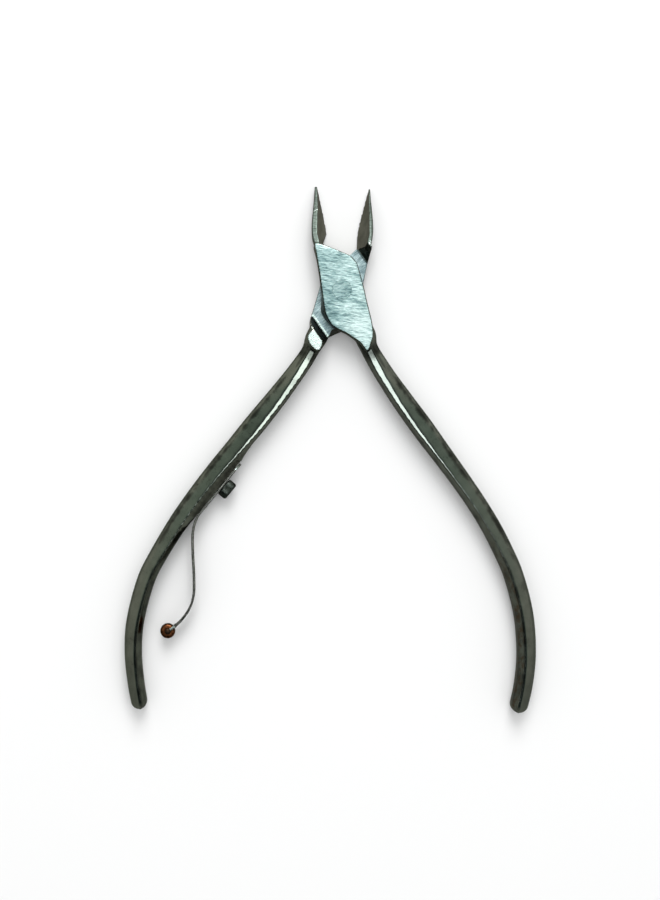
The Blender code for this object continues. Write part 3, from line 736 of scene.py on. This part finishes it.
def shaded_wall_steel(name):
    """Milled shoulder, not polished, painted dark as shade."""
    n = Nodes(name)
    cloud = n.noise(n.mapped((1.2, 1.2, 1.2)), 1.0, 4.0, 0.6)
    n.set(
        Base_Color=n.ramp(cloud, [(0.3, (0.055, 0.062, 0.055)), (0.7, (0.12, 0.13, 0.115))]),
        Metallic=1.0,
        Roughness=n.remap(cloud, 0.22, 0.38),
        Normal=n.bump(n.noise(n.mapped((4.0, 4.0, 12.0)), 1.0, 2.0, 0.5), 0.006, 1.0),
    )
    return n.m


def ground_steel(name, turn, colours, rough=(0.30, 0.46), lean=0.0):
    """Brushed by hand on a belt: short overlapping strokes across the piece."""
    n = Nodes(name)
    where = n.mapped((0.75, 5.4, 1.0), (0, 0, turn))
    stroke = n.noise(where, 1.0, 4.0, 0.62, 0.35)
    fine = n.noise(n.mapped((2.0, 18.0, 1.0), (0, 0, turn)), 1.0, 2.0, 0.6)
    broad = n.noise(n.mapped((0.17, 0.26, 1.0), (0, 0, turn)), 1.0, 2.0, 0.5)
    mixed = n.math("ADD", n.math("MULTIPLY", stroke, 0.72), n.math("MULTIPLY", broad, 0.28))
    mixed = n.math("ADD", n.math("MULTIPLY", mixed, 0.80), n.math("MULTIPLY", fine, 0.20))
    if lean:
        # lighter towards +x
        apart = n.t.nodes.new("ShaderNodeSeparateXYZ")
        n.join(n.mm, apart.inputs[0])
        mixed = n.math("ADD", mixed, n.math("MULTIPLY", apart.outputs["X"], lean))
        # and darker round one place, low on the left
        spot = n.t.nodes.new("ShaderNodeVectorMath")
        spot.operation = "DISTANCE"
        n.join(n.mm, spot.inputs[0])
        spot.inputs[1].default_value = (-2.6, -3.6, THICK)
        mixed = n.math("ADD", n.math("SUBTRACT", mixed, n.remap(spot.outputs["Value"], 0.055, 0.0, 0.5, 5.0)), 0.016)
    n.set(
        Base_Color=n.ramp(mixed, [(0.40, colours[0]), (0.5, colours[1]), (0.62, colours[2])]),
        Metallic=1.0,
        Roughness=n.remap(stroke, rough[1], rough[0]),
        Normal=n.bump(mixed, 0.035, 1.0),
    )
    return n.m


def hollow_steel(name):
    n = Nodes(name)
    grain = n.noise(n.mapped((7.0, 7.0, 7.0)), 1.0, 3.0, 0.6)
    cloud = n.noise(n.mapped((0.5, 0.5, 0.5)), 1.0, 3.0, 0.5)
    n.set(
        Base_Color=n.ramp(cloud, [(0.3, (0.35, 0.345, 0.30)), (0.7, (0.52, 0.51, 0.455))]),
        Metallic=1.0,
        Roughness=n.remap(grain, 0.44, 0.6),
        Normal=n.bump(grain, 0.006, 1.0),
    )
    return n.m


def strip_steel(name):
    n = Nodes(name)
    cloud = n.noise(n.mapped((1.1, 1.1, 0.5)), 1.0, 4.0, 0.6)
    lines = n.noise(n.mapped((1.2, 1.2, 16.0)), 1.0, 2.0, 0.5)
    n.set(
        Base_Color=n.ramp(cloud, [(0.3, (0.15, 0.15, 0.135)), (0.7, (0.27, 0.27, 0.245))]),
        Metallic=1.0,
        Roughness=n.remap(lines, 0.18, 0.34),
        Normal=n.bump(lines, 0.004, 1.0),
    )
    return n.m


def screw_steel(name, tint=(0.15, 0.175, 0.155)):
    n = Nodes(name)
    cloud = n.noise(n.mapped((1.8, 1.8, 1.8)), 1.0, 4.0, 0.6)
    grain = n.noise(n.mapped((14.0, 14.0, 14.0)), 1.0, 2.0, 0.6)
    n.set(
        Base_Color=n.ramp(cloud, [(0.3, tuple(v * 0.5 for v in tint)), (0.7, tint)]),
        Metallic=1.0,
        Roughness=n.remap(cloud, 0.24, 0.40),
        Normal=n.bump(grain, 0.004, 1.0),
    )
    return n.m


def copper(name):
    n = Nodes(name)
    cloud = n.noise(n.mapped((1.6, 1.6, 1.6)), 1.0, 4.0, 0.6)
    grain = n.noise(n.mapped((2.0, 2.0, 18.0)), 1.0, 2.0, 0.6)
    n.set(
        Base_Color=n.ramp(cloud, [(0.3, (0.10, 0.036, 0.016)), (0.55, (0.24, 0.085, 0.034)), (0.75, (0.42, 0.18, 0.085))]),
        Metallic=1.0,
        Roughness=n.remap(cloud, 0.22, 0.40),
        Normal=n.bump(grain, 0.006, 1.0),
    )
    return n.m


steel_front = polished_steel("front_polished", (0.40, 0.43, 0.40), brown_patches=0.8)
steel_rear = polished_steel("rear_polished", (0.40, 0.43, 0.385))
shades = [(0.10, 0.185, 0.20), (0.355, 0.53, 0.53), (0.84, 0.99, 0.97)]
plate = ground_steel("ground_plate", math.radians(-4), shades, lean=0.006)
rivet_face = ground_steel("ground_rivet", math.radians(9), [tuple(v * 0.90 for v in shade) for shade in shades])
lap = ground_steel("ground_lap", math.radians(38), [(0.16, 0.23, 0.25), (0.30, 0.40, 0.42), (0.56, 0.68, 0.69)])
# brighter steel for the painted highlights
highlight_steel = ground_steel("painted_highlight_steel", math.radians(20), [(0.54, 0.62, 0.59), (0.64, 0.73, 0.70), (0.70, 0.78, 0.76)], (0.22, 0.30))
# brighter steel for the run-out's painted highlight
run = ground_steel("run_out_painted_highlight", math.radians(38), [(0.44, 0.54, 0.51), (0.56, 0.68, 0.64), (0.68, 0.80, 0.76)], (0.20, 0.28))
hollow = hollow_steel("hollow_ground")
back = ground_steel("ground_jaw_back", math.radians(8), [(0.10, 0.125, 0.11), (0.155, 0.19, 0.17), (0.28, 0.34, 0.30)], (0.34, 0.46))
shaded_wall = shaded_wall_steel("milled_shoulder_painted_shade")

front = half("front_half_fine", 1, [steel_front, plate, hollow, lap, back, shaded_wall, highlight_steel, run])
rear = half("rear_half_fine", -1, [steel_rear, plate, hollow, lap, back, shaded_wall, highlight_steel, run])
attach(front, "front")
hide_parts("front_half")
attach(rear, "rear")
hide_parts("rear_half")

# ---- rivet, spring, screw, roller -----------------------------------------------------------


def finish_piece(o, body, node, mat, angle=35):
    o.data.transform(Matrix.Scale(MM, 4))
    o.data.materials.clear()
    o.data.materials.append(mat)
    o.data.shade_smooth()
    o.data.set_sharp_from_angle(angle=math.radians(angle))
    if body:
        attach(o, body)
    for one in [node] if isinstance(node, str) else node:
        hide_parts(one)
    return o


rivet = turned("rivet_fine", [
    (0, THICK - 0.004), (1.60, THICK - 0.004), (1.89, THICK - 0.004), (1.5, THICK - 0.45), (1.5, 0.45), (1.89, 0.004),
    (1.60, 0.004), (0, 0.004),
], 96)
finish_piece(rivet, "rear", "joint_rivet", rivet_face, 12)

# the strip: its path from the fixed end down the seat and out to the roller
u = np.array(SEAT_DIR) / np.linalg.norm(SEAT_DIR)
m = np.array((-u[1], u[0]))


def on_seat(s, off):
    return tuple(np.array(SEAT) + u * s + m * off)


mid_off = LEAF_GAP + LEAF_T / 2
path = Line([
    on_seat(-LEAF_TOP, mid_off + 0.10), on_seat(-LEAF_TOP + 1.0, mid_off + 0.035), on_seat(-LEAF_TOP + 2.0, mid_off),
    on_seat(-2, mid_off), on_seat(0, mid_off), on_seat(2.5, mid_off), on_seat(5.5, mid_off), on_seat(LEAF_ROOT, mid_off),
    *LEAF_LINE, ROLLER,
])
end_s = path.length + 0.42
window_s = path.length - 2.0


def strip_rings(s0, s1, z0, z1, count, tip_round=0.0, tail_round=0.0, thick=LEAF_T):
    rings = []
    for s in np.linspace(s0, s1, count):
        q = min(s, path.length)
        p, d = path.at(q), path.tangent(min(q, path.length - 0.05))
        p = p + d * (s - q)
        n = np.array((-d[1], d[0]))
        half_w = (z1 - z0) / 2
        if tip_round and s - s0 < tip_round:
            k = 1 - (s - s0) / tip_round
            half_w = max(0.12, (z1 - z0) / 2 * math.sqrt(max(0.0, 1 - k * k)))
        half_t = thick / 2
        if tail_round and s1 - s < tail_round:
            k = 1 - (s1 - s) / tail_round
            half_t = max(0.05, half_t * math.sqrt(max(0.0, 1 - k * k)))
        zc = (z0 + z1) / 2
        corners = [(-half_t, -half_w, 0.5), (half_t, -half_w, 0.5), (half_t, half_w, 0.5), (-half_t, half_w, 0.5)]
        r = 0.06
        ring = []
        for i, (a, b) in enumerate([(-1, -1), (1, -1), (1, 1), (-1, 1)]):
            for k in range(4):
                t = math.pi / 2 * (k / 3)
                base = (math.pi * 1.0, math.pi * 1.5, 0.0, math.pi * 0.5)[i]
                x = a * (half_t - r) + r * math.cos(base + t)
                z = b * (half_w - min(r, half_w * 0.9)) + min(r, half_w * 0.9) * math.sin(base + t)
                ring.append((p[0] + n[0] * x, p[1] + n[1] * x, zc + z))
        rings.append(ring)
    return rings


low, high = MID - LEAF_W / 2, MID + LEAF_W / 2
strip = loft("spring_strip", strip_rings(0, window_s + 0.6, low, high, 220, tip_round=LEAF_W / 2))
arm = (LEAF_W - ROLLER_L - 0.16) / 2
for k, (a, b) in enumerate(((low, low + arm), (high - arm, high))):
    boolean(strip, loft("arm", strip_rings(window_s, end_s, a, b, 40, tail_round=0.5, thick=0.56)), "UNION")
hole = turned("hole", [(0, 2), (SCREW_R + 0.06, 2), (SCREW_R + 0.06, -1), (0, -1)], 48)
hole.data.transform(seat_axes())
boolean(strip, hole)
window = turned("window", [(0, ROLLER_L / 2 + 0.06), (1.75, ROLLER_L / 2 + 0.06), (1.75, -ROLLER_L / 2 - 0.06), (0, -ROLLER_L / 2 - 0.06)], 64)
window.data.transform(Matrix.Translation((*ROLLER, MID)))
boolean(strip, window)
pin_hole = turned("pin_hole", [(0, 4), (0.41, 4), (0.41, -4), (0, -4)], 32)
pin_hole.data.transform(Matrix.Translation((*ROLLER, MID)))
boolean(strip, pin_hole)
strip = finish_piece(strip, None, ["spring_clamped_end", "spring_leaf"], strip_steel("spring_strip_steel"))
# painted highlights on the arms' edges and on the strip's bent upper end
strip.data.materials.append(highlight_steel)
glint_centres = [Vector((*ROLLER, MID)) * MM, Vector((*on_seat(-LEAF_TOP + 0.5, mid_off), MID)) * MM]
for face in strip.data.polygons:
    off = [(face.center - w).xy.length / MM for w in glint_centres]
    if abs(face.normal.z) > 0.5 and 0.62 < off[0] < 1.75 or off[1] < 1.1:
        face.material_index = 1
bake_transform(strip)

# cheese-head screw with a fine straight knurl and a driver slot
base = LEAF_GAP + LEAF_T + 0.03
top = base + HEAD_H
profile = rounded([
    (0, top), (HEAD_R - 0.28, top), (HEAD_R, top - 0.30), (HEAD_R, base + 0.16), (HEAD_R - 0.16, base), (SCREW_R, base),
    (SCREW_R, -SCREW_LEN + 0.3), (SCREW_R - 0.3, -SCREW_LEN), (0, -SCREW_LEN),
], 0.12, 5)
screw = turned("screw_fine", profile, 192)
for v in screw.data.vertices:
    r = math.hypot(v.co.x, v.co.y)
    if r > HEAD_R - 0.04 and base + 0.2 < v.co.z < top - 0.25:
        k = 1 - 0.028 * (0.5 + 0.5 * math.cos(math.atan2(v.co.y, v.co.x) * 48))
        v.co.x *= k
        v.co.y *= k
slot = loft("slot", [
    [(x, y, z) for x, y in ((-SLOT_W / 2, -3), (SLOT_W / 2, -3), (SLOT_W / 2, 3), (-SLOT_W / 2, 3))]
    for z in (top - SLOT_D, top + 2)
])
slot.data.transform(Matrix.Rotation(math.radians(25), 4, "Z"))
boolean(screw, slot)
screw.data.transform(seat_axes())
finish_piece(screw, "rear", "spring_screw", screw_steel("screw_dark_steel"), 28)

l = ROLLER_L / 2
roller = turned("roller_fine", rounded([
    (0.42, l - 0.02), (0.55, l), (ROLLER_R - 0.3, l), (ROLLER_R - 0.04, l - 0.26), (ROLLER_R, 0), (ROLLER_R - 0.04, -l + 0.26),
    (ROLLER_R - 0.3, -l), (0.55, -l), (0.42, -l + 0.02),
], 0.18, 6) + [(0.42, l - 0.02)], 96)
bm = bmesh.new()
bm.from_mesh(roller.data)
bmesh.ops.remove_doubles(bm, verts=bm.verts, dist=1e-5)
bmesh.ops.recalc_face_normals(bm, faces=bm.faces)
bm.to_mesh(roller.data)
bm.free()
roller.data.transform(Matrix.Translation((*ROLLER, MID)))
finish_piece(roller, "roller", "roller", copper("roller_copper_metal"))

q = LEAF_W / 2 + 0.03
pin = turned("roller_pin_fine", rounded([
    (0, q + 0.25), (0.45, q + 0.24), (0.6, q + 0.1), (0.6, q), (0.38, q), (0.38, -q), (0.6, -q), (0.6, -q - 0.1),
    (0.45, -q - 0.24), (0, -q - 0.25),
], 0.05, 4), 48)
pin.data.transform(Matrix.Translation((*ROLLER, MID)))
finish_piece(pin, "leaf", "roller_pin", screw_steel("pin_dark_steel", (0.10, 0.06, 0.04)))

# ---- floor, light, camera -------------------------------------------------------------------

bm = bmesh.new()
bmesh.ops.create_grid(bm, x_segments=1, y_segments=1, size=3.0)
floor = from_bmesh("floor", bm)
floor.location = (0, 0, -0.00003)
fm = bpy.data.materials.new("pale_floor")
fm.use_nodes = True
t = fm.node_tree
b = t.nodes["Principled BSDF"]
b.inputs["Base Color"].default_value = (0.86, 0.86, 0.86, 1)
b.inputs["Roughness"].default_value = 0.9
b.inputs["Specular IOR Level"].default_value = 0.0
path_node = t.nodes.new("ShaderNodeLightPath")
dim = t.nodes.new("ShaderNodeBsdfDiffuse")
dim.inputs["Color"].default_value = (0.135, 0.138, 0.118, 1)
mix = t.nodes.new("ShaderNodeMixShader")
t.links.new(path_node.outputs["Is Glossy Ray"], mix.inputs["Fac"])
t.links.new(b.outputs[0], mix.inputs[1])
t.links.new(dim.outputs[0], mix.inputs[2])
t.links.new(mix.outputs[0], t.nodes["Material Output"].inputs["Surface"])
floor.data.materials.append(fm)


def area(name, where, at, size, power, colour=(1, 1, 1)):
    light = bpy.data.lights.new(name, "AREA")
    light.shape = "RECTANGLE"
    light.size, light.size_y = size
    light.energy = power
    light.color = colour
    o = link(bpy.data.objects.new(name, light))
    o.location = where
    o.rotation_euler = (Vector(at) - Vector(where)).to_track_quat("-Z", "Y").to_euler()
    return o


centre = (0.0, -0.035, 0.0)
area("top_soft", (0.065, 0.065, 0.95), (0.065, 0.065, 0), (0.38, 0.28), 0.80, (0.94, 1.0, 0.99))
area("key", (0.0, 0.62, 0.80), centre, (0.44, 0.60), 5.6)
room = area("room_soft", (0.0, 0.10, 1.10), (0, 0.10, 0), (1.6, 1.6), 5.2)
room.visible_glossy = False

world = bpy.data.worlds.new("studio")
bpy.context.scene.world = world
world.use_nodes = True
t = world.node_tree
bg = t.nodes["Background"]
coord = t.nodes.new("ShaderNodeTexCoord")
split = t.nodes.new("ShaderNodeSeparateXYZ")
ramp = t.nodes.new("ShaderNodeValToRGB")
t.links.new(coord.outputs["Generated"], split.inputs[0])
t.links.new(split.outputs["Z"], ramp.inputs["Fac"])
stops = [(0.0, (0.31, 0.31, 0.265)), (0.35, (0.31, 0.31, 0.265)), (0.66, (0.20, 0.24, 0.20)), (0.84, (0.06, 0.08, 0.07)), (0.95, (0.010, 0.014, 0.013))]
while len(ramp.color_ramp.elements) < len(stops):
    ramp.color_ramp.elements.new(0.5)
for e, (pos, colour) in zip(ramp.color_ramp.elements, stops):
    e.position = pos
    e.color = (*colour, 1)
side_light = t.nodes.new("ShaderNodeMapRange")
side_light.inputs["From Min"].default_value, side_light.inputs["From Max"].default_value = -0.75, 0.55
side_light.inputs["To Min"].default_value, side_light.inputs["To Max"].default_value = 0.32, 1.0
t.links.new(split.outputs["Y"], side_light.inputs["Value"])
shaded = t.nodes.new("ShaderNodeVectorMath")
shaded.operation = "SCALE"
t.links.new(ramp.outputs["Color"], shaded.inputs[0])
t.links.new(side_light.outputs["Result"], shaded.inputs["Scale"])
light_path = t.nodes.new("ShaderNodeLightPath")
pale = t.nodes.new("ShaderNodeMix")
pale.data_type = "RGBA"
t.links.new(light_path.outputs["Is Camera Ray"], pale.inputs["Factor"])
t.links.new(shaded.outputs[0], pale.inputs[6])
pale.inputs[7].default_value = (0.93, 0.93, 0.93, 1)
even = t.nodes.new("ShaderNodeMix")
even.data_type = "RGBA"
t.links.new(light_path.outputs["Is Diffuse Ray"], even.inputs["Factor"])
t.links.new(pale.outputs[2], even.inputs[6])
even.inputs[7].default_value = (0.50, 0.50, 0.50, 1)
t.links.new(even.outputs[2], bg.inputs["Color"])
bg.inputs["Strength"].default_value = 1.0

TARGET = Vector((-0.00140, -0.03185, 0.0033))
DIST, TILT = 0.400, math.radians(2.2)
back = Vector((-math.sin(TILT), 0, math.cos(TILT)))
up = Vector((-0.0276, 0.9996, 0))
right = up.cross(back).normalized()
up = back.cross(right).normalized()
cam_data = bpy.data.cameras.new("camera")
cam = link(bpy.data.objects.new("camera", cam_data))
cam.matrix_world = Matrix.Translation(TARGET + back * DIST) @ Matrix((right, up, back)).transposed().to_4x4()
cam_data.sensor_fit = "VERTICAL"
cam_data.sensor_height = 24.0
cam_data.lens = 12.0 / (0.090 / DIST)
cam_data.clip_start, cam_data.clip_end = 0.01, 20
bpy.context.scene.camera = cam
bpy.context.scene.view_settings.view_transform = "Standard"
